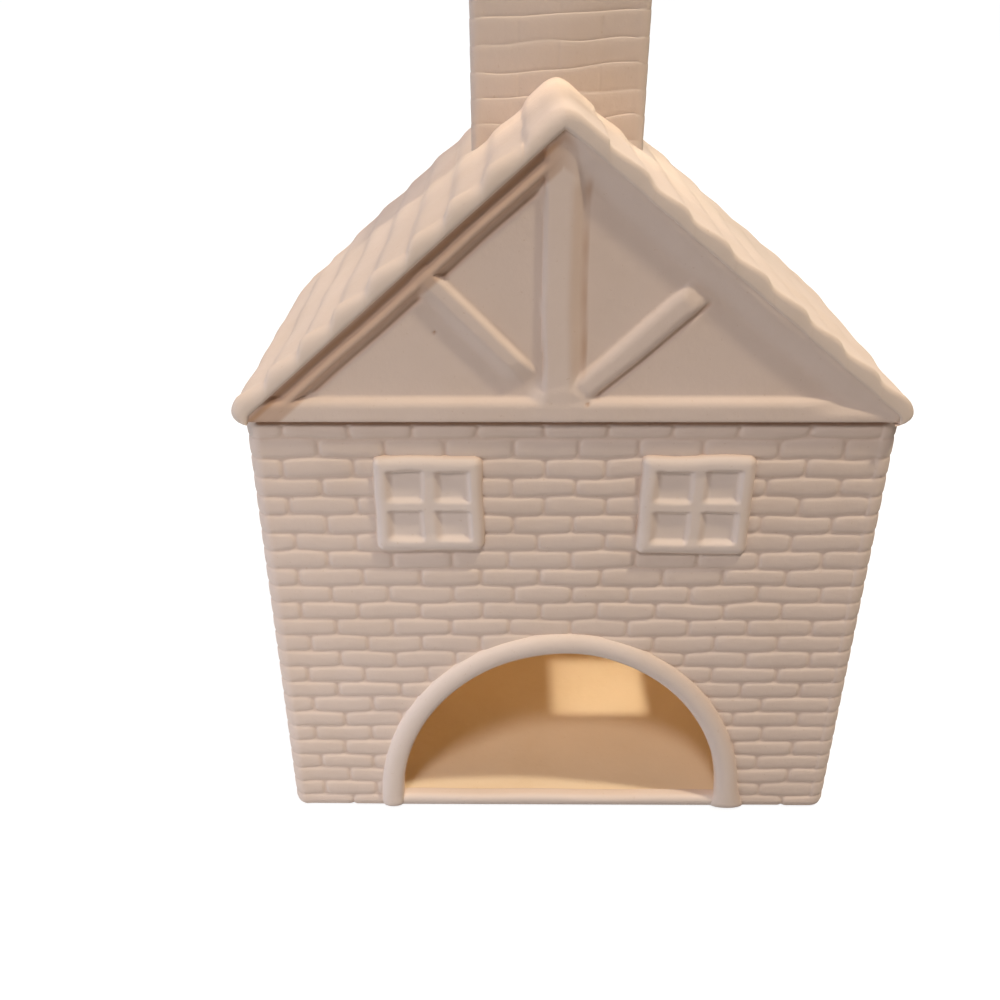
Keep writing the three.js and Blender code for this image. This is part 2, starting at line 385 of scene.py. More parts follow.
# Grid lines: the widest gap, and places near a joint, at the foot and at the top
WALL_GRID = 1.3
FINE = (-1.15, -0.75, -0.42, -0.14, 0.14, 0.42, 0.75, 1.15)
COARSE = (-1.1, -0.5, -0.15, 0.15, 0.5, 1.1)
FOOT_LINES = (0, 0.2, 0.5, 0.95, 1.6)
TOP_LINES = (-1.1, -0.8, -0.6, -0.45, -0.3, -0.15, 0, 0.5, 1, 1.6, 2.2, 3)
# The hole is larger than the mouth, and the moulding and the sill cover its edge
HOLE_GROW = 3
HOLE_FOOT = 3
# Half length, distance, joints of even and odd courses, grid lines and seed of each wall
WALLS = (
    (HALF_WIDTH, HALF_DEPTH, 8.7, 1.3, FINE, 11),
    (HALF_DEPTH, HALF_WIDTH, 4, -3.6, COARSE, 12),
    (HALF_WIDTH, HALF_DEPTH, 6.1, -1.6, COARSE, 13),
    (HALF_DEPTH, HALF_WIDTH, -2.2, 5.4, COARSE, 14),
)


def brick_depth(u, v, seed, even, odd):
    """How far the surface lies under the brick faces: over the whole wall, and for beds alone."""
    course = np.where(v > TOP_BED, 0, 1 + np.floor((TOP_BED - v) / COURSE))
    upper = np.where(course == 0, WALL_TOP, TOP_BED - (course - 1) * COURSE)
    lower = np.where(course == 0, TOP_BED, upper - COURSE)
    # No joint shows under the lowest course
    lower = np.where(course >= COURSES - 1, lower - 3, lower)
    phase = np.where(course % 2 == 0, even, odd)
    number = np.floor((u - phase) / BRICK)
    middle = phase + (number + 0.5) * BRICK
    half_v = (upper - lower) / 2
    from_bed = v - (upper + lower) / 2
    crown = CROWN * (from_bed / half_v) ** 2

    def profile(distance, lift):
        sunk = (1 - unit(distance / BRICK_EDGE)) ** 2
        return RELIEF * sunk + (crown + lift) * (1 - sunk), sunk

    inside = inside_box(u - middle, from_bed, BRICK / 2 - JOINT_HALF, half_v - JOINT_HALF, BRICK_CORNER)
    own = OWN_DEPTH * chance(seed, course + 50, number + 50)
    return *profile(inside, own), *profile(half_v - JOINT_HALF - np.abs(from_bed), OWN_DEPTH / 2)


def course_stray(seed, u, v):
    """Sideways stray of the bricks: its own in each course, blended across the bed joints."""
    length, change, blend = 42, 3.1, 0.11
    steps = (TOP_BED - v) / COURSE
    course = np.floor(steps)
    part = steps - course
    field = ripple(seed, length, change)
    before, after = (0.5 * (1 - smooth(share, 0, blend)) for share in (part, 1 - part))
    own = 1 - before - after
    return own * field(u, course) + before * field(u, course - 1) + after * field(u, course + 1)


def joints(phase, low, high):
    first, last = math.floor((low - phase) / BRICK), math.ceil((high - phase) / BRICK)
    return [phase + BRICK * k for k in range(first, last + 1)]


def foot_inset(z):
    """How far the body's rounded foot draws in at a height."""
    lower = np.clip(FOOT_ROUND - z, 0, FOOT_ROUND)
    return FOOT_ROUND - np.sqrt(FOOT_ROUND**2 - lower**2)


def eave_flare(z):
    """How far the side walls swell out under the eaves."""
    return 0.5 * smooth(z, WALL_TOP - 2.6, WALL_TOP + 1.4)


def hole_line(steps=900):
    """Closed line round the hole in the wall, with a flat foot."""
    turn = np.linspace(math.pi, 0, steps)
    half = MOUTH_HALF + HOLE_GROW
    arch = placed(half * np.cos(turn), MOUTH_SPRING + (MOUTH_RISE + HOLE_GROW) * np.sin(turn))
    return np.vstack([arch, placed(np.linspace(half, -half, steps), HOLE_FOOT)])


def in_mouth(x, z, grow, floor_level):
    oval = (x / (MOUTH_HALF + grow)) ** 2 + ((z - MOUTH_SPRING) / (MOUTH_RISE + grow)) ** 2 < 1
    below = (np.abs(x) < MOUTH_HALF + grow) & (z <= MOUTH_SPRING)
    return (z > floor_level) & (oval | below)


def build_walls(material, lining):
    """The four brick walls as one wrapped shell with the mouth cut in its front."""
    beds = TOP_BED - COURSE * np.arange(COURSES - 1)
    rows = lines_near(beds, FINE, 0, WALL_TOP, WALL_GRID)
    rows = rows[(rows > 2.1) & (rows < WALL_TOP - 1.2)]
    rows = np.unique(np.hstack([FOOT_LINES, [HOLE_FOOT], rows, WALL_TOP + np.array(TOP_LINES)]))
    bend = np.radians(np.linspace(0, 90, 8)[1:-1])
    outer, hollow, inner = [], [], []
    for turn, (half, distance, even, odd, offsets, seed) in enumerate(WALLS):
        front, gabled = turn == 0, turn % 2 == 0
        flat = half - CORNER
        stretch = STRETCH if front else 0
        high = STRETCH_FROM + (flat - STRETCH_FROM) / (1 + stretch)
        places = joints(even, -flat, high) + joints(odd, -flat, high)
        columns = lines_near(places, offsets, -flat, high, WALL_GRID)
        u, v = grid(columns, rows)
        across = u + stretch * np.maximum(u - STRETCH_FROM, 0)
        ends = half - np.abs(across)
        # Near the corners only the beds are left, and shallower
        sink, sunk, bed_sink, bed_sunk = brick_depth(u, v, seed, even, odd)
        whole = smooth(ends, CORNER, CORNER + 1.2)
        bed_sink = bed_sink * (CORNER_RELIEF + (1 - CORNER_RELIEF) * whole)
        sink = bed_sink + (sink - bed_sink) * whole
        sunk = bed_sunk + (sunk - bed_sunk) * whole
        hold = smooth(ends, CORNER, 9) * smooth(v, 1, 6) * smooth(WALL_TOP - v, 0, 5)
        x = across + BRICK_STRAY * course_stray(seed, u, v) * hold
        z = v + COURSE_WAVE * ripple(seed + 20, 22, 17)(u, v) * hold
        wave = ripple(seed + 40, 60, 50)(u, v)
        inset = SKIN + sink + WALL_WAVE * (1 + wave) / 2 + foot_inset(v)
        if front:
            # The wall ducks under the feet of the moulding
            inset = inset + 1.3 * in_mouth(across, v, 5.2, -1) * smooth(7.5 - v, 0, 1.5)
        if gabled:
            inset = inset + 1.1 * smooth(v, WALL_TOP - 0.75, WALL_TOP - 0.1)
            inset = inset + 0.6 * smooth(v, WALL_TOP, WALL_TOP + 0.6)
        else:
            inset = inset - eave_flare(v)
        outer.append(turned(placed(x, inset - distance, z), turn))
        # Dirt and painted shade in the joints, and a band of painted shade along the wall's top, under the
        # tie beam and the eaves
        hollow.append(JOINT_DIRT_AND_SHADE * sunk**DIRT_AND_SHADE_POWER + 0.7 * smooth(v, WALL_TOP - 0.8, WALL_TOP - 0.2))
        # The rounded corner that follows this wall
        lean = (np.sin(bend) if gabled else np.cos(bend))[:, None]
        sink = SKIN + WALL_WAVE / 2 + bed_sink[0] + foot_inset(rows) - eave_flare(rows) * lean
        outer.append(turned(round_corner(half, distance, CORNER, sink, bend, rows), turn))
        # Dirt and painted shade in the bed joints round the corner
        hollow.append(np.broadcast_to(JOINT_DIRT_AND_SHADE * bed_sunk[0] ** DIRT_AND_SHADE_POWER, sink.shape))
        inner.append(turned(inner_line(columns, bend, half - WALL, distance - WALL, ROOM_CORNER), turn))
        if front:
            front_end = len(columns)
    points = np.vstack(outer)
    shell = Shell()
    index = shell.add(points, np.vstack(hollow))
    index = np.vstack([index, index[:1]])
    centre = (points[:-1, :-1] + points[1:, 1:])[:front_end - 1] / 2
    keep = np.ones((index.shape[0] - 1, index.shape[1] - 1), bool)
    keep[:front_end - 1] = ~in_mouth(centre[..., 0], centre[..., 2], HOLE_GROW, HOLE_FOOT)
    quads = shell.skin(index, keep)
    low, high = index[:-1, 0], index[:-1, -1]
    # The mouth's border is shorter than those round the foot and the top
    mouth = border(quads)[-1]
    line = hole_line()
    for number in mouth:
        x, _, z = shell.points[number]
        shell.points[number, ::2] = line[np.argmin((line[:, 0] - x) ** 2 + (line[:, 1] - z) ** 2)]
    ring = np.vstack(inner)
    inner_low = shell.add(ring)
    inner_high = shell.add(ring + [0, 0, rows[-1]])
    shell.strip(inner_low, low, closed=True)
    shell.strip(high, inner_high, closed=True)
    rest = np.append(np.arange(front_end - 1, len(ring)), 0)
    shell.strip(inner_high[rest], inner_low[rest])
    panel = np.hstack([inner_low[:front_end], inner_high[:front_end][::-1]])
    shell.fill(
        [panel, shell.carry(mouth, 1, -ROOM_Y)], 1,
        lambda x, z: not in_mouth(x, z, HOLE_GROW - 0.01, HOLE_FOOT + 0.01), flip=True,
    )
    nodes = ("front_wall", "back_wall", "wall_left", "wall_right")
    make_piece("brick_walls", shell, material, nodes, lining)


# Mouth

BAND = 6.2
CREST = 2.3
# Where the moulding's hidden back lies
BAND_BACK = 46.4
# How far the right foot spreads, and the height at which it starts to
FOOT_SPREAD = 3
SPREAD_FROM = 11


def build_moulding(material):
    """The half-round band round the mouth, with the wall's thickness behind it."""
    reveal = [(0.5, -ROOM_Y), (0.12, -ROOM_Y - 0.2), (0, -ROOM_Y - 0.7), (0, -ROOM_Y - 2)]
    band = [
        (BAND / 2 * (1 - math.cos(a)), -PANEL_Y - CREST * math.sin(a) ** 0.85)
        for a in np.radians(np.linspace(0, 180, 15))
    ]
    tail = [
        (BAND + 0.5, -PANEL_Y + 0.5), (BAND - 0.2, -BAND_BACK), (HOLE_GROW, -BAND_BACK), (HOLE_GROW, -ROOM_Y),
    ]
    grow, y = np.array(reveal + band + tail).T
    # From foot to foot: place on the arch, and height on a foot
    feet = (0, 0.35, 0.9, 1.7, 2.7)
    rings = [(math.pi, z) for z in feet]
    rings += [(t, None) for t in np.radians(np.linspace(180, 0, 181))]
    rings += [(0, z) for z in feet[::-1]]
    points, flank_shade = [], []
    for turn, foot in rings:
        along = math.cos(turn)
        height = MOUTH_SPRING + MOUTH_RISE * math.sin(turn) if foot is None else foot
        spread = FOOT_SPREAD * (1 - min(height / SPREAD_FROM, 1)) ** 2 if along > 0 else 0
        wide = grow * (1 + spread / BAND * smooth(grow, 0, BAND))
        wide = wide - 0.55 * spread * (1 - smooth(grow, 0, 3.2)) * smooth(-y, 45, 47)
        # The feet swell out of the ground, and the reveal follows the rounded foot of the wall
        swell = 0.12 + 0.88 * math.sqrt(1 - (1 - min(height / 3.4, 1)) ** 2)
        deep = np.where(y < -BAND_BACK, -BAND_BACK + (y + BAND_BACK) * swell, y)
        deep = deep + (foot_inset(height) + SKIN) * smooth(-y, ROOM_Y + 0.2, BAND_BACK)
        deep = np.minimum(deep, np.maximum(y, -ROOM_Y - 0.05))
        wobble = 0.12 * math.sin(6 * along + 0.7) + 0.08 * math.sin(11 * along)
        x = along * (MOUTH_HALF + wide)
        z = MOUTH_SPRING + (MOUTH_RISE + wide) * math.sin(turn) if foot is None else foot
        points.append(placed(x, deep + wobble * (y < -47), z))
        # Painted shade, warm brown, on the outer half of the band down its right-hand side
        flank_shade.append(0.4 * smooth(grow, 0.45 * BAND, BAND) * smooth(along, 0.1, 0.9) * (y < -46.5))
    shell = Shell()
    shell.sweep(shell.add(np.array(points), np.array(flank_shade)), flip=True)
    make_piece("arch_moulding", shell, material, ("arch_surround",), sharp=60)


def build_sill(material):
    """The smooth rounded strip along the foot of the mouth."""
    def corner(y, z, radius, start, end, steps):
        turn = np.radians(np.linspace(start, end, steps))
        return placed(y + radius * np.cos(turn), z + radius * np.sin(turn))

    front, edge, lip = -HALF_DEPTH + 0.15, 1.5, 0.9
    y, z = np.vstack([
        [(-ROOM_Y, 0)],
        corner(front + FOOT_ROUND, FOOT_ROUND, FOOT_ROUND, 270, 180, 9),
        corner(front + edge, SILL - edge, edge, 180, 90, 7),
        corner(-ROOM_Y - lip, SILL - lip, lip, 90, 0, 6),
    ]).T
    x = np.linspace(-MOUTH_HALF - 2, MOUTH_HALF + 2, 95)[:, None]
    sag = 0.12 * ripple(71, 40, 5)(x, 0)
    shell = Shell()
    shell.sweep(shell.add(placed(x, y, z + sag * smooth(z, 1.5, SILL))))
    make_piece("mouth_sill", shell, material, ())


# Windows


def window_height(u, v, width, height, seed):
    """Height of a window's face above the mortar, and its painted shade, measured from its middle."""
    raised, pane_level, bar, muntin, side_bar = 1.95, 0.75, 3.9, 3.3, 3.5
    wob = ripple(seed, 18, 18)
    u = u + 0.16 * wob(u, v)
    v = v + 0.16 * wob(v + 40, u)
    edge = inside_box(u, v, width / 2, height / 2, 2)
    top = raised * shoulder(edge, 2.4)
    pane_w = (width - 2 * side_bar - muntin) / 2
    pane_h = (height - 2 * bar - muntin) / 2
    cut = np.zeros(u.shape)
    pane_shade = np.zeros(u.shape)
    for side_u, side_v in ((-1, -1), (-1, 1), (1, -1), (1, 1)):
        cu = u - side_u * (muntin + pane_w) / 2
        cv = v - side_v * (muntin + pane_h) / 2
        # A wide slope at the left, a narrow one at the right and the top
        left, right = smooth(cu + pane_w / 2, -0.9, 1.7), smooth(pane_w / 2 - cu, -0.7, 0.5)
        under, over = smooth(cv + pane_h / 2, -0.9, 0.8), smooth(pane_h / 2 - cv, -0.6, 0.25)
        pane = left * right * under * over
        cut = np.maximum(cut, pane)
        # Painted shade in each pane, under the bar at its top and over its slope at the left
        pane_shade = np.maximum(pane_shade, pane * (1.6 * (1 - over) + 0.8 * (1 - left)))
    level = top * (1 - cut) + pane_level * cut
    # The glazing bars are rolls, a little lower than the frame
    inner = inside_box(u, v, width / 2 - side_bar, height / 2 - bar, 0.5)
    level = level - 0.25 * smooth(inner, -1, 1.5) * (1 - cut) - 1.6 * smooth(-edge, 0, 0.8)
    # Painted shade on the frame's right flank, and round its edge where it meets the wall
    flank = 0.3 * smooth(u, width / 2 - 2, width / 2 - 0.6)
    return level, np.maximum.reduce([pane_shade, flank, smooth(-edge, -0.6, 0.4)])


def build_window(name, seed, material):
    margin, pitch, back = 0.9, 0.36, -45.4
    low, high = np.array(solid_box(name))[:, ::2]
    size, middle = high - low, (low + high) / 2
    across, up = (np.linspace(-s / 2 - margin, s / 2 + margin, round((s + 2 * margin) / pitch)) for s in size)
    u, v = grid(across, up)
    level, mark = window_height(u, v, *size, seed)
    shell = Shell()
    quads = shell.skin(shell.add(placed(middle[0] + u, -PANEL_Y - level, middle[1] + v), mark))
    close_flat(shell, quads, 1, back)
    make_piece(name + "_frame", shell, material, (name,))


# Gables

RAISED = 1.8
RIGHT_RAFTER = 2.45
TIE_TOP = 129.9
KING = (-7.4, 2.3)
# Head, foot and width
LEFT_BRACE = ((-32.85, 156.3), (-12.55, 135.4), 6.7)
RIGHT_BRACE = ((27.55, 155.5), (3.7, 133.2), 6.5)
# The groove above the left rafter and the trench below it: depth under the roof, and width
GROOVE = (4.4, 1.3)
TRENCH = (9.2, 0.7)
# The swollen foot of the king post: middle, half width and half height
KNOT = (-2.3, 128, 10.5, 9)
PINHOLES = ((-31.1, 145.5), (3.5, 128.7))


def along_line(x, z, head, foot):
    """Distance down a line from its head, distance to its upper side, and its length."""
    dx, dz = foot[0] - head[0], foot[1] - head[1]
    length = math.hypot(dx, dz)
    dx, dz = dx / length, dz / length
    down = (x - head[0]) * dx + (z - head[1]) * dz
    nx, nz = (-dz, dx) if dx > 0 else (dz, -dx)
    return down, (x - head[0]) * nx + (z - head[1]) * nz, length


def gable_height(x, z):
    """Height of the half-timbered gable above its panels, and the shade painted into its grooves and shaded
    flanks.
    """
    wob = ripple(81, 30, 30)
    x = x + 0.2 * wob(x, z) * smooth(z, 126, 132)
    depth = depth_under_roof(x, z)
    right_side = smooth(x, RIDGE_X - 3, RIDGE_X + 5)
    left_side = 1 - right_side
    # Timbers under the verges: a groove above the left one, a soft run on the right
    groove = bell(depth - GROOVE[0], GROOVE[1])
    left_run = smooth(8.6 - depth, 0, 1.5) * (1 - 1.2 * groove)
    rafter = RAISED * left_run * left_side + RIGHT_RAFTER * smooth(11.2 - depth, 0, 8.2) * right_side
    king = shoulder(x - KING[0], 1.2) * smooth(KING[1] - x, 0, 3.8) * between(x, KING, 0)
    tie = shoulder(TIE_TOP - z, 2.2) * (z < TIE_TOP)
    tie = tie * (1 - 0.5 * smooth(x, 52, 63) * smooth(z, 125.5, 129))
    knot = smooth(1 - np.hypot((x - KNOT[0]) / KNOT[2], (z - KNOT[1]) / KNOT[3]), 0, 0.6)
    down, side, length = along_line(x, z, *LEFT_BRACE[:2])
    half = LEFT_BRACE[2] / 2 + 0.8
    brace_left = smooth(half - side, 0, 1.5) * smooth(half + side, 0, 4.6)
    brace_left = brace_left * smooth(down, -4.5, -1) * smooth(length + 5 - down, 0, 9)
    down, side, length = along_line(x, z, *RIGHT_BRACE[:2])
    half = RIGHT_BRACE[2] / 2
    brace_right = shoulder(half - np.abs(side), 2.4) * (np.abs(side) < half)
    brace_right = brace_right * smooth(down, -2, 5) * smooth(length + 6 - down, 0, 5)
    # Each timber's height and how softly it runs into the others
    level = rafter
    for timber, blend in (
        (RAISED * king, 0.4), (RAISED * brace_left, 0.35), (1.7 * brace_right, 0.35), (1.95 * tie, 0.4),
        (1.85 * knot, 0.5),
    ):
        level = soft_max(level, timber, blend)
    trench = bell(depth - TRENCH[0], TRENCH[1]) * left_side * (1 - smooth(brace_left, 0.02, 0.4))
    trench = trench * smooth(-x, 7.4, 9.5) * smooth(z, TIE_TOP, TIE_TOP + 2)
    under = bell(side + half + 0.45, 0.5) * smooth(down, 0, 2) * smooth(length + 2 - down, 0, 3)
    level = level - 0.6 * trench - 0.45 * under
    # Painted shade, warm brown, down the king post's right half, strongest on its right flank and fading out
    # towards its head and its foot
    flank_shade = 0.3 * smooth(x, -2.6, -0.6) + 0.5 * smooth(x, 0.6, 1.9) * (0.8 + 0.3 * wob(z * 2, x))
    flank_shade = flank_shade * smooth(KING[1] + 0.7 - x, 0, 0.8) * smooth(z, 133, 138) * smooth(180 - z, 0, 4)
    # Painted shade, brown: a little over the recessed panels, in the groove and the trench by the left
    # rafter, all along the left rafter, and under the right brace
    by_rafter = left_side * smooth(depth, 3, 4) * smooth(9.5 - depth, 0, 1)
    hollow = np.maximum.reduce([
        0.1 * unit(1 - level / 0.9), 1.3 * left_side * groove, trench, 0.8 * by_rafter, 0.8 * under, flank_shade,
    ])
    # The pinholes sink in and carry painted shade
    for hole_x, hole_z in PINHOLES:
        pinhole = bell(np.hypot(x - hole_x, z - hole_z), 0.4)
        level = level - 0.4 * pinhole
        hollow = np.maximum(hollow, 1.4 * pinhole)
    # The gable's foot ducks back under the tie beam, with painted shade along it
    foot = 1 - shoulder(z - WALL_TOP - 0.3, 0.9)
    return level * (1 - 0.9 * foot) - 0.8 * foot, np.maximum(hollow, 0.8 * foot)


def build_gable(end, facing, material, lining):
    """One half-timbered gable. The back one faces -1 and is the front one mirrored."""
    pitch, tuck = 0.44, 1.9
    rows = np.hstack([
        WALL_TOP + np.array([0.3, 0.36, 0.45, 0.6, 0.8, 1.05]),
        np.arange(WALL_TOP + 1.4, under_roof(1, RIDGE_X, tuck), pitch),
    ])
    columns = np.arange(-HALF_WIDTH + 0.4, HALF_WIDTH - 0.4 + pitch / 2, pitch)
    x, z = grid(columns, rows)
    low, high = (
        RIDGE_X + side * (under_roof(side, RIDGE_X, tuck) - z) * slope_of(side)[0] / slope_of(side)[1]
        for side in (-1, 1)
    )
    clear = (x > low) & (x < high)
    inside = clear[:-1, :-1] | clear[1:, :-1] | clear[1:, 1:] | clear[:-1, 1:]
    x = np.clip(x, low, high)
    level, mark = gable_height(x, z)
    ends = smooth(HALF_WIDTH - np.abs(x), 0.1, 2.4)
    y = -PANEL_Y - level * np.where(level > 0, 0.25 + 0.75 * ends, 1)
    shell = Shell()
    quads = shell.skin(shell.add(placed(x, facing * y, z), mark), inside, flip=facing < 0)
    under = tuck - 0.02
    close_flat(shell, quads, 1, -facing * ROOM_Y, lambda u, v: depth_under_roof(u, v) > under, facing > 0)
    stems = "gable_panel tie_beam king_post rafter_left rafter_right brace_left brace_right".split()
    nodes = [stem + "_" + end for stem in stems]
    make_piece("gable_" + end, shell, material, nodes, lining)


# Roof

# Places of the lines down one row, as shares of it
ROW_LINES = np.array([0, 0.035, 0.09, 0.17, 0.28, 0.4, 0.52, 0.64, 0.75, 0.84, 0.9, 0.94, 0.97, 0.99])
# How high a row's edge stands, and the share of that at its head and at the ridge cap's
BUTT = 0.72
HEAD = 0.12
CAP = 1.3
# Where the edge starts to round off, as a share of the row: the ridge cap's, and the others'
CAP_SOFT = {-1: 0.75, 1: 0.91}
ROW_SOFT = 0.68
# How much higher the edges stand at the front verge, and lower at the back one
FRONT_TEETH = {-1: 1.75, 1: 0.8}
BACK_TEETH = 0.3
# Roundness of the verges, and the share of it that the right slope has
VERGE_ROUND = 2.5
RIGHT_VERGE = 0.5
# How far down from the ridge it is rounded
RIDGE_EASE = 3.4
# How far the eave's front and back ends are drawn in, and over what length
CORNER_PULL = {-1: (0, 2.4), 1: (1.7, 2.2)}
CORNER_REACH = (9, 16)
# How far out the nose of each eave reaches, and its length
NOSE = {-1: EAVE_X + 0.35, 1: EAVE_X - 0.3}
NOSE_LENGTH = 2.9
# Where the roof's underside meets the wall
WALL_LINE = HALF_WIDTH - 2.4


def row_lines(y, number, side):
    """How far a row's lower edge strays down the slope along the roof."""
    if number == 0:
        return np.zeros(y.shape)
    seed = 300 + number * 7 + (0 if side < 0 else 3)
    rng = np.random.default_rng(seed)
    stray = 0.32 * ripple(seed, 38, 38, 8)(y, 0)
    at = -VERGE_Y - rng.uniform(2, 9)
    while at < VERGE_Y:
        at += rng.uniform(9, 15)
        stray = stray + rng.uniform(-0.55, 0.55) * smooth(y, at - 0.7, at + 0.7)
    stray = stray - stray.mean()
    return stray * (0.35 if number == ROWS else 1)


def slope_lines(side, y_line):
    """Lines down one slope from the ridge to under its eave: top, underside and painted shade."""
    run, rise, length = slope_of(side)
    row = length / ROWS
    along = np.array([side * run, -rise]) / length
    outward = np.array([side * rise, run]) / length
    other_run, _, other_length = slope_of(-side)
    ridge = np.array([RIDGE_X, RIDGE_Z])
    here = ridge + along * RIDGE_EASE
    there = ridge - np.array([side * other_run, rise]) / other_length * RIDGE_EASE
    gap_x = CHIMNEY_X[0] + WALL / 2 if side < 0 else CHIMNEY_X[1] - WALL / 2
    gap = side * (gap_x - RIDGE_X) * length / run
    nose_from = length - NOSE_LENGTH
    wall_spot = (WALL_LINE - side * RIDGE_X) * length / run
    spots = np.hstack([(k + ROW_LINES) * row for k in range(ROWS)])
    spots = spots[spots < nose_from]
    spots[np.argmin(np.abs(spots - gap))] = gap
    strays = [row_lines(y_line, k, side) for k in range(ROWS + 1)]
    # The rows run straight beside the chimney
    beside = smooth(y_line, CHIMNEY_Y[0] - 7, CHIMNEY_Y[0] - 2)
    beside = 1 - beside * smooth(CHIMNEY_Y[1] + 7 - y_line, 0, 5)
    bulge = ripple(410 + side, 30, 22)
    corner_in = np.where(y_line < 0, *(
        pull * unit(1 - (VERGE_Y - np.abs(y_line)) / reach) ** 2
        for pull, reach in zip(CORNER_PULL[side], CORNER_REACH)
    ))
    front_verge = smooth(-y_line, VERGE_Y - 5, VERGE_Y)
    back_verge = smooth(y_line, VERGE_Y - 12, VERGE_Y)
    tops, unders, marks = [], [], []
    for spot in spots:
        number = min(int(spot / row + 1e-6), ROWS - 1)
        f = max(spot / row - number, 0)
        stray = (1 - f) * strays[number] + f * strays[number + 1]
        if spot < gap + 6:
            stray = stray * beside
        head = HEAD + (1 - HEAD) * smooth(f, 0, 0.7) if number else CAP
        rise_up = head + (HEAD - head) * smooth(f, ROW_SOFT if number else CAP_SOFT[side], 1)
        teeth = 1 + (FRONT_TEETH[side] if number else 0) * front_verge - BACK_TEETH * back_verge
        lift = BUTT * rise_up * teeth + 0.13 * bulge(spot, y_line) * smooth(spot, 2, 8)
        place = spot + stray * smooth(spot, 0, 6) - corner_in * smooth(spot, length - 16, length - 3)
        line = ridge + np.outer(place, along) + np.outer(lift, outward)
        if spot < RIDGE_EASE:
            # Rounded ridge
            share = spot / RIDGE_EASE
            up = (outward[0] * share, 1 - (1 - outward[1]) * share)
            line = bezier(0.5 + 0.5 * share, there, ridge, here) + np.outer(lift, up)
        tail = max(0, spot - (length - 14)) / (nose_from - length + 14)
        base_x = RIDGE_X + along[0] * (spot - tail * (nose_from - wall_spot))
        tops.append(line)
        unders.append((base_x, under_roof(side, base_x, ROOF_THICK)))
        # Painted shade along the creases at each row's head and butt
        crease = max(0, 1 - min(f, 1 - f) / 0.05) if number or f > 0.5 else 0
        marks.append(0.08 * crease)
    start = tops[-1]
    end = np.array([side * (HALF_WIDTH - 1.6), WALL_TOP + 0.2])
    pull_out = start + along * 1.5
    pull_in = np.array([side * (NOSE[side] + 2), WALL_TOP + 0.7])
    eave_wave = 0.18 * ripple(520 + side, 26, 26)(y_line, 0) - 0.18
    for t in np.linspace(0, 1, 11)[1:]:
        line = bezier(t, start, pull_out, pull_in, end)
        line[:, 0] += side * (eave_wave * 4 * t * (1 - t) - 0.9 * corner_in * t)
        line[:, 0] = np.clip(line[:, 0], -EAVE_X, EAVE_X)
        tops.append(line)
        base_z = under_roof(side, side * WALL_LINE, ROOF_THICK) * (1 - t) + (WALL_TOP + 0.3) * t
        unders.append((side * (WALL_LINE + 0.7 * t), base_z))
        marks.append(0)
    return tops, unders, marks


def build_roof(material, lining):
    """Both shingled slopes as one slab that wraps over the ridge, open under the chimney."""
    end = VERGE_Y - VERGE_ROUND
    flat = np.linspace(-end, end, 129)
    for edge in (CHIMNEY_Y[0] + WALL / 2, CHIMNEY_Y[1] - WALL / 2):
        flat[np.argmin(np.abs(flat - edge))] = edge
    # Round the verges: how far in from the verge a line lies, and how far down to the underside
    bend = np.radians(np.linspace(0, 90, 6))[1:]
    rim_in = VERGE_ROUND * (1 - np.sin(bend))
    rim_down = VERGE_ROUND * (1 - np.cos(bend)) / (ROOF_THICK + 0.6)
    drop = np.hstack([rim_down, 1 - (1 - rim_down[-1]) * np.array([0.75, 0.5, 0.27, 0.08])])
    verge = VERGE_Y - np.hstack([rim_in, [0, 0, 0.15, 0.5]])
    y_line = np.hstack([-verge[::-1], flat, verge])
    down = np.hstack([drop[::-1], 0 * flat, drop])
    under_verge = VERGE_Y - 1 - 0.07 * np.arange(len(drop))
    under_y = np.hstack([-under_verge, np.clip(flat, 1.9 - VERGE_Y, VERGE_Y - 1.9), under_verge[::-1]])
    left, right = slope_lines(-1, y_line), slope_lines(1, y_line)
    top, under, marks = (np.array(a[::-1] + b[1:]) for a, b in zip(left, right))
    # The verge's roll is smaller on the right slope
    roll = 1 + (RIGHT_VERGE - 1) * smooth(top[:, 0, 0], RIDGE_X - 2, RIDGE_X + 4)
    rolled = (down > 0) & (down <= rim_down[-1])
    shrink = np.where(rolled, roll[:, None], 1)
    upper_y = np.sign(y_line) * (VERGE_Y - (VERGE_Y - np.abs(y_line)) * shrink)
    mixed = top + (under[:, None] - top) * (down * shrink)[..., None]
    upper = placed(mixed[..., 0], upper_y, mixed[..., 1])
    lower = placed(under[:, :1], under_y, under[:, 1:])
    middle = (upper[:-1, :-1] + upper[1:, 1:]) / 2
    hole = between(middle[..., 0], CHIMNEY_X, WALL / 2 - 0.2) & between(middle[..., 1], CHIMNEY_Y, WALL / 2)
    shell = Shell()
    index = shell.add(upper, marks[:, None])
    below = shell.add(lower)
    quads = shell.skin(index, ~hole)
    shell.skin(below, ~hole, flip=True)
    shift = below[0, 0] - index[0, 0]
    for loop in border(quads):
        shell.strip(loop[::-1], (loop + shift)[::-1], closed=True)
    make_piece("shingled_roof", shell, material, ("roof_left", "roof_right"), lining)


# Chimney

BLOCK = 20
BLOCK_COURSE = 5.9
STACK_CORNER = 1.6
FLUE_CORNER = 1
RIM = 1.5
# Depth of the joints, tilt of the courses round the stack, and slow waves of its blocks
BLOCK_RELIEF = 0.15
TILT = 0.95
BLOCK_WAVE = 0.28
# Grid lines near a bed and near a block's end, and down the flue from the top
BED_LINES = (-0.9, -0.5, -0.2, 0, 0.2, 0.5, 0.9)
END_LINES = (-0.8, -0.4, -0.12, 0.12, 0.4, 0.8)
FLUE_LINES = (12, 20, 32, 44)


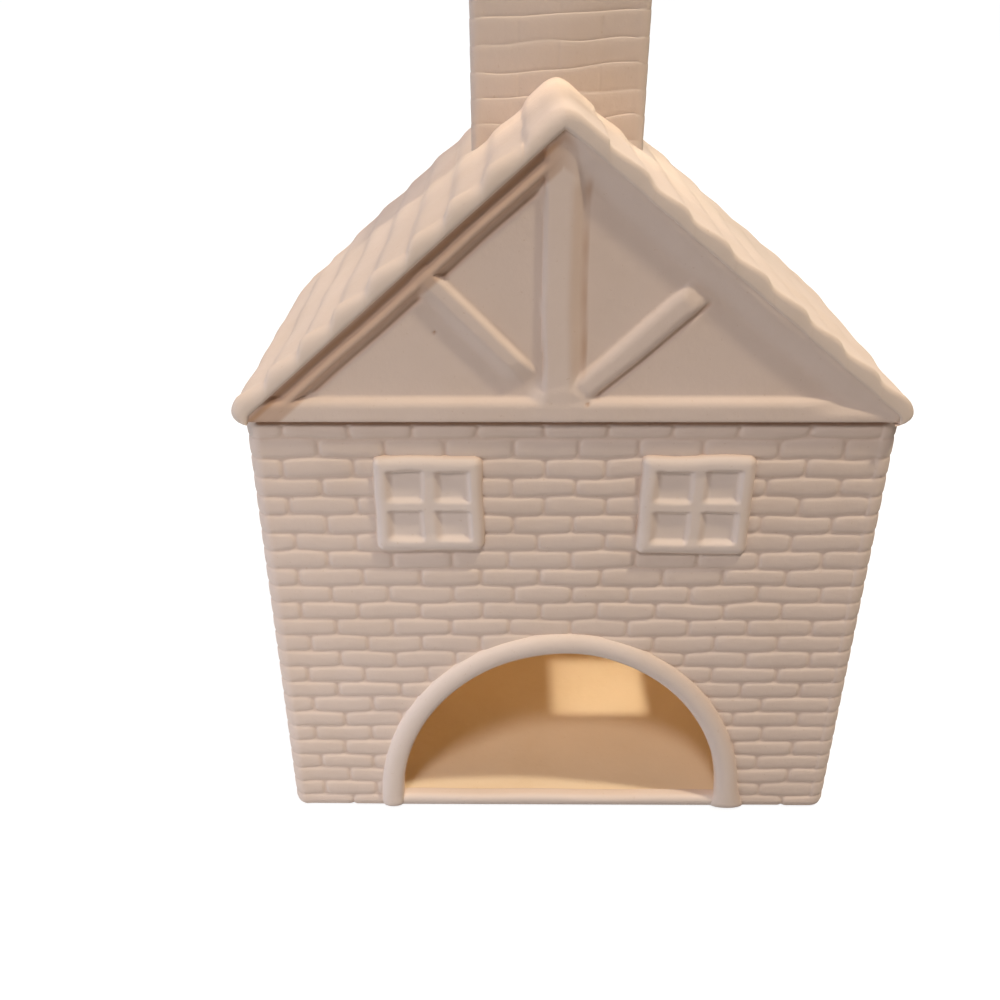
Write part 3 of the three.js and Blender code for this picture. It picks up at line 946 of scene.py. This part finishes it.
def build_chimney(material, lining):
    """A hollow stack of long soft blocks, open at the top."""
    width, depth = CHIMNEY_X[1] - CHIMNEY_X[0], CHIMNEY_Y[1] - CHIMNEY_Y[0]
    middle = np.array([sum(CHIMNEY_X) / 2, sum(CHIMNEY_Y) / 2, 0])
    beds = np.arange(CHIMNEY_TOP, CHIMNEY_FOOT - 3, -BLOCK_COURSE)[1:]
    v = lines_near(beds, BED_LINES, CHIMNEY_FOOT, CHIMNEY_TOP - RIM, 1.2)
    hold = smooth(CHIMNEY_TOP - v, 1.5, 9) * smooth(v, CHIMNEY_FOOT, CHIMNEY_FOOT + 5)
    course = np.floor((CHIMNEY_TOP - v) / BLOCK_COURSE)
    from_bed = v - CHIMNEY_TOP + (course + 0.5) * BLOCK_COURSE
    odd = course % 2 == 0
    bed_inside = BLOCK_COURSE / 2 - np.abs(from_bed)
    beds_sunk = (1 - unit(bed_inside - 0.1)) ** 2
    corner_sink = BLOCK_RELIEF + 0.12 * (1 - unit(bed_inside)) ** 2
    bend = np.radians(np.linspace(0, 90, 7)[1:-1])
    outer, inner, marks = [], [], []
    run = 0

    def tilt_at(place):
        return TILT * np.sin(math.tau * place / (width + depth) - math.pi / 2) * hold

    for turn, (half, distance) in enumerate(((width / 2, depth / 2), (depth / 2, width / 2)) * 2):
        flat = half - STACK_CORNER
        columns = lines_near((-BLOCK / 2, 0, BLOCK / 2), END_LINES, -flat, flat, 1.3)
        u = columns[:, None]
        end_inside = np.where(odd, np.abs(np.abs(u) - BLOCK / 2), np.abs(u)) - 0.1
        sunk = np.maximum(beds_sunk, 0.4 * (1 - unit(end_inside / 0.8)) ** 2)
        block = np.where(odd, np.floor((u + 50) / BLOCK), np.floor(u / BLOCK + 4))
        own = chance(90, course + 20, block + 9 * turn)
        sink = BLOCK_RELIEF * sunk + 0.1 * own + 0.3 * (0.5 - from_bed / BLOCK_COURSE)
        soft = smooth(half - np.abs(u), STACK_CORNER, STACK_CORNER + 1.4)
        wave = BLOCK_WAVE * ripple(95 + turn, 19, 14)(u, v) * soft * hold
        y = sink * (0.35 + 0.65 * soft) - distance
        outer.append(turned(placed(u, y, v + tilt_at(run + u + half) + wave), turn))
        marks.append(0.04 * sunk * soft)
        run += 2 * half
        corner = round_corner(half, distance, STACK_CORNER, corner_sink, bend, v + tilt_at(run))
        outer.append(turned(corner, turn))
        marks.append(np.zeros(corner.shape[:2]))
        inner.append(turned(inner_line(columns, bend, half - WALL, distance - WALL, FLUE_CORNER), turn))
    face = np.vstack(outer) + middle
    ring = np.vstack(inner) + middle
    # Over the rounded rim and down the flue
    edge = face[:, -1]

    def rim_line(start, end, t):
        line = start + (end - start) * (RIM / WALL) * (1 - math.cos(t))
        line[:, 2] = CHIMNEY_TOP - RIM + RIM * math.sin(t)
        return line

    over = np.radians(np.linspace(0, 90, 6))
    stages = [rim_line(edge, ring, t) for t in over[1:]] + [rim_line(ring, edge, t) for t in over[::-1]]
    depths = [CHIMNEY_TOP - drop for drop in FLUE_LINES] + [CHIMNEY_FOOT + 1, CHIMNEY_FOOT]
    stages += [placed(ring[:, 0], ring[:, 1], z) for z in depths]
    points = np.hstack([face, np.stack(stages, axis=1)])
    hollow = np.pad(np.vstack(marks), ((0, 0), (0, len(stages))))
    shell = Shell()
    shell.skin(np.pad(shell.add(points, hollow), ((0, 1), (0, 1)), "wrap"))
    make_piece("chimney_stack", shell, material, ("chimney",), lining, 65)


# Floor


def build_floor(material):
    """The slab inside, with soft corners where it meets the walls."""
    edge = np.array([0, 0.25, 0.6, 1.1, 1.8, 2.8])
    columns, rows = (
        np.hstack([-half + edge, np.linspace(-plain, plain, count), half - edge[::-1]])
        for half, plain, count in ((ROOM_X, 67, 90), (ROOM_Y, 40, 54))
    )
    x, y = grid(columns, rows)
    corner = np.minimum(ROOM_X - np.abs(x), ROOM_Y - y)
    rise = 2 * (1 - unit(corner / 2.4)) ** 2
    uneven = 0.12 * ripple(610, 50, 40)(x, y)
    shell = Shell()
    quads = shell.skin(shell.add(placed(x, y, FLOOR + rise + uneven)))
    close_flat(shell, quads, 2, 0)
    make_piece("floor_slab", shell, material, ("floor",))


# Clay


class Tree:
    """The nodes of a material or of the world."""

    def __init__(self, owner):
        owner.use_nodes = True
        self.nodes, self.links = owner.node_tree.nodes, owner.node_tree.links

    def add(self, kind, inputs, **settings):
        """A node with its settings. An input given as an output is linked, anything else is set."""
        node = self.nodes.new("ShaderNode" + kind)
        for key, value in settings.items():
            setattr(node, key, value)
        for key, value in inputs.items():
            if isinstance(value, bpy.types.NodeSocket):
                self.links.new(value, node.inputs[key])
            else:
                node.inputs[key].default_value = value
        return node

    def noise(self, place, scale, detail, roughness=0.5):
        inputs = {"Vector": place, "Scale": scale, "Detail": detail, "Roughness": roughness}
        return self.add("TexNoise", inputs).outputs["Fac"]

    def ramp(self, source, stops):
        node = self.add("ValToRGB", {"Fac": source})
        elements = node.color_ramp.elements
        elements.remove(elements[1])
        for number, (at, colour) in enumerate(stops):
            element = elements.new(at) if number else elements[0]
            element.position, element.color = at, colour
        return node.outputs["Color"]

    def maths(self, operation, one, two):
        return self.add("Math", {0: one, 1: two}, operation=operation).outputs["Value"]

    def laid_over(self, under, colour, mask, amount):
        """A colour laid over another where a mask calls for it."""
        inputs = {"Factor": self.maths("MULTIPLY", mask, amount), "A": under, "B": colour}
        return self.add("Mix", inputs, data_type="RGBA").outputs["Result"]

    def bump(self, height, strength, distance, over=None):
        inputs = {"Height": height, "Strength": strength, "Distance": distance}
        if over:
            inputs["Normal"] = over
        return self.add("Bump", inputs).outputs["Normal"]


def grey(value):
    return (value, value, value, 1)


def bisque(name, colour, rough, grain, mottle):
    """Unglazed white clay: faint mottling, a warm brown where the meshes mark it (dirt and painted shade in
    the joints, painted shade in the grooves, creases, under the eaves and on shaded flanks), a fine grain and
    pits.
    """
    material = bpy.data.materials.new(name)
    tree = Tree(material)
    shader = tree.nodes["Principled BSDF"]
    shader.inputs["Specular IOR Level"].default_value = 0.28
    place = tree.add("TexCoord", {}).outputs["Object"]

    def tint(*scale):
        return tuple(c * s for c, s in zip(colour, scale)) + (1,)

    body = tree.ramp(tree.noise(place, 38, 5, 0.6), [
        (0.3, tint(1 - mottle, 1 - 1.4 * mottle, 1 - 2.1 * mottle)),
        (0.5, tint(1, 1, 1)),
        (0.7, tint(1 + 0.5 * mottle, 1 + 0.6 * mottle, 1 + 0.9 * mottle)),
    ])
    flecks = tree.ramp(tree.noise(place, 900, 2), [(0.69, grey(0)), (0.76, grey(1))])
    body = tree.laid_over(body, tint(0.8, 0.72, 0.62), flecks, 0.35)
    hollow = tree.add("Attribute", {}, attribute_name="hollow").outputs["Fac"]
    # The marked places turn warm brown: dirt and painted shade in the joints, painted shade everywhere else
    # that is marked
    body = tree.laid_over(body, tint(0.62, 0.44, 0.3), hollow, 0.7)
    tree.links.new(body, shader.inputs["Base Color"])
    polish = tree.ramp(tree.noise(place, 160, 3), [(0.35, grey(rough - 0.06)), (0.65, grey(rough + 0.06))])
    tree.links.new(polish, shader.inputs["Roughness"])
    pits = tree.add("TexVoronoi", {"Vector": place, "Scale": 330}).outputs["Distance"]
    pits = tree.ramp(pits, [(0, grey(0)), (0.16, grey(1))])
    surface = tree.bump(tree.noise(place, 2600, 3, 0.6), 0.35, 0.06 * MM * grain)
    surface = tree.bump(tree.noise(place, 420, 3), 0.5, 0.22 * MM * grain, surface)
    surface = tree.bump(pits, 0.25, 0.08 * MM, surface)
    tree.links.new(surface, shader.inputs["Normal"])
    return material


# Studio

WHITE = (1, 1, 1, 1)
AIR_COLOUR = (1, 0.97, 0.95, 1)
AIR_STRENGTH = 0.035
# How white the floor is to the camera close by the object
NEAR_WHITE = 0.88

# The narrow beam that lights the flue, in degrees
BEAM_CONE = 1.65
MIDDLE = (0, 0, 0.08)
LAMPS = (
    # name, place, aimed at, size across, colour, watts and kind
    ("room_front", (-0.35, -1.4, 2), MIDDLE, 0.4, (1, 0.9, 0.86), 16.6),
    ("window_left", (-1, -0.12, 0.14), MIDDLE, 0.3, (0.6, 0.78, 1), 2.2),
    ("ceiling_right", (0.5, -0.33, 1.5), MIDDLE, 0.09, (1, 0.87, 0.66), 11.6),
    ("ceiling_left", (-0.55, 0, 1.3), (0, 0, 0.15), 0.3, (1, 0.71, 0.58), 3.2),
    ("table_left", (-0.16, -0.2, 0.02), (-0.04, -0.05, 0.01), 0.08, (0.97, 0.97, 1), 0.125),
    ("table_right", (0.17, -0.24, 0.03), (0.05, -0.05, 0.03), 0.08, (1, 0.86, 0.76), 0.024),
    ("room_behind", (0.45, 1.1, 1.3), (0, 0, 0.1), 0.4, (1, 0.93, 0.88), 7),
    ("flue_beam", (-0.13, 0.14, 1.63), (-0.003, 0.02, 0.23), 0.06, (1, 0.84, 0.6), 116, "SPOT"),
    # The thin clay lets warm light through into the chamber
    ("chamber_glow", (0, 0, 0.075), (0, 0, 0), 0.04, (1, 0.63, 0.28), 0.023, "POINT"),
)

# The photograph's view: place, turns in degrees about the camera's own axes, and lens
CAMERA_PLACE = (-0.0147, -0.26299, 0.22251)
CAMERA_TURNS = ((0.56, "Z"), (60.95, "X"), (-0.21, "Z"))
CAMERA_LENS = 36.54


def seen_itself(tree):
    """1 where the camera sees the surface straight, in a gloss or through glass."""
    ray = tree.add("LightPath", {}).outputs
    seen = tree.maths("MAXIMUM", ray["Is Camera Ray"], ray["Is Glossy Ray"])
    return tree.maths("MAXIMUM", seen, ray["Is Transmission Ray"])


def backdrop_material(name):
    """Pale card that reads white to the camera and still takes the object's shadow."""
    material = bpy.data.materials.new(name)
    tree = Tree(material)
    tree.nodes.clear()
    place = tree.add("TexCoord", {}).outputs["Object"]
    reach = tree.add("VectorMath", {0: place}, operation="LENGTH").outputs["Value"]

    def fade(near, far, low, high):
        inputs = {"Value": reach, "From Min": near, "From Max": far, "To Min": low, "To Max": high}
        return tree.add("MapRange", inputs, interpolation_type="SMOOTHSTEP").outputs["Result"]

    card = tree.add("BsdfDiffuse", {"Color": fade(0.12, 0.42, 0.29, 0.3)}).outputs["BSDF"]
    strength = tree.maths("MULTIPLY", seen_itself(tree), fade(0.1, 0.5, NEAR_WHITE, 1))
    glow = tree.add("Emission", {"Color": WHITE, "Strength": strength}).outputs["Emission"]
    both = tree.add("AddShader", {0: card, 1: glow}).outputs["Shader"]
    tree.add("OutputMaterial", {"Surface": both})
    return material


def build_stage():
    size = 6
    mesh = bpy.data.meshes.new("studio_floor")
    corners = [(-size, -size, 0), (size, -size, 0), (size, size, 0), (-size, size, 0)]
    mesh.from_pydata(corners, [], [(0, 1, 2, 3)])
    mesh.materials.append(backdrop_material("studio_card"))
    new_object("studio_floor", mesh)
    world = bpy.data.worlds.new("studio_air")
    bpy.context.scene.world = world
    tree = Tree(world)
    tree.nodes.clear()
    air = tree.add("Background", {"Color": AIR_COLOUR, "Strength": AIR_STRENGTH}).outputs["Background"]
    white = tree.add("Background", {"Color": WHITE, "Strength": 1}).outputs["Background"]
    mix = tree.add("MixShader", {0: seen_itself(tree), 1: air, 2: white}).outputs["Shader"]
    tree.add("OutputWorld", {"Surface": mix})


def add_lamp(name, place, target, size, colour, watts, kind="AREA"):
    data = bpy.data.lights.new(name, kind)
    data.color, data.energy = colour, watts
    if kind == "AREA":
        data.shape, data.size = "DISK", size
    else:
        data.shadow_soft_size = size / 2
    if kind == "SPOT":
        data.spot_size, data.spot_blend = math.radians(BEAM_CONE), 0.2
    lamp = new_object(name, data)
    lamp.location = place
    lamp.rotation_euler = (Vector(target) - Vector(place)).to_track_quat("-Z", "Y").to_euler()


def build_camera():
    data = bpy.data.cameras.new("camera")
    data.sensor_width = 36
    data.lens = CAMERA_LENS
    data.clip_start = 0.01
    camera = new_object("camera", data)
    camera.matrix_world = Matrix.Translation(CAMERA_PLACE)
    for degrees, axis in CAMERA_TURNS:
        camera.matrix_world @= Matrix.Rotation(math.radians(degrees), 4, axis)
    bpy.context.scene.camera = camera


build_camera()
build_stage()
for row in LAMPS:
    add_lamp(*row)

# colour, roughness, grain and mottling
wall_clay = bisque("bisque_wall", (0.81, 0.67, 0.585), 0.78, 1, 0.03)
trim_clay = bisque("bisque_trim", (0.84, 0.72, 0.65), 0.74, 0.8, 0.02)
roof_clay = bisque("bisque_roof", (0.825, 0.695, 0.6), 0.78, 1.1, 0.03)
stack_clay = bisque("bisque_stack", (0.75, 0.635, 0.555), 0.78, 1, 0.03)
# Painted light: the inner clay is lighter and warmer than the walls' to stand in for the light inside the
# chamber and the flue
inner_clay_painted_light = bisque("bisque_inner", (0.9, 0.76, 0.58), 0.82, 1.2, 0.04)

build_walls(wall_clay, inner_clay_painted_light)
build_moulding(trim_clay)
build_sill(trim_clay)
build_window("window_left", 60, trim_clay)
build_window("window_right", 61, trim_clay)
build_gable("front", 1, wall_clay, inner_clay_painted_light)
build_gable("back", -1, wall_clay, inner_clay_painted_light)
build_roof(roof_clay, inner_clay_painted_light)
build_chimney(stack_clay, inner_clay_painted_light)
build_floor(inner_clay_painted_light)

bpy.context.scene.view_settings.view_transform = "Standard"
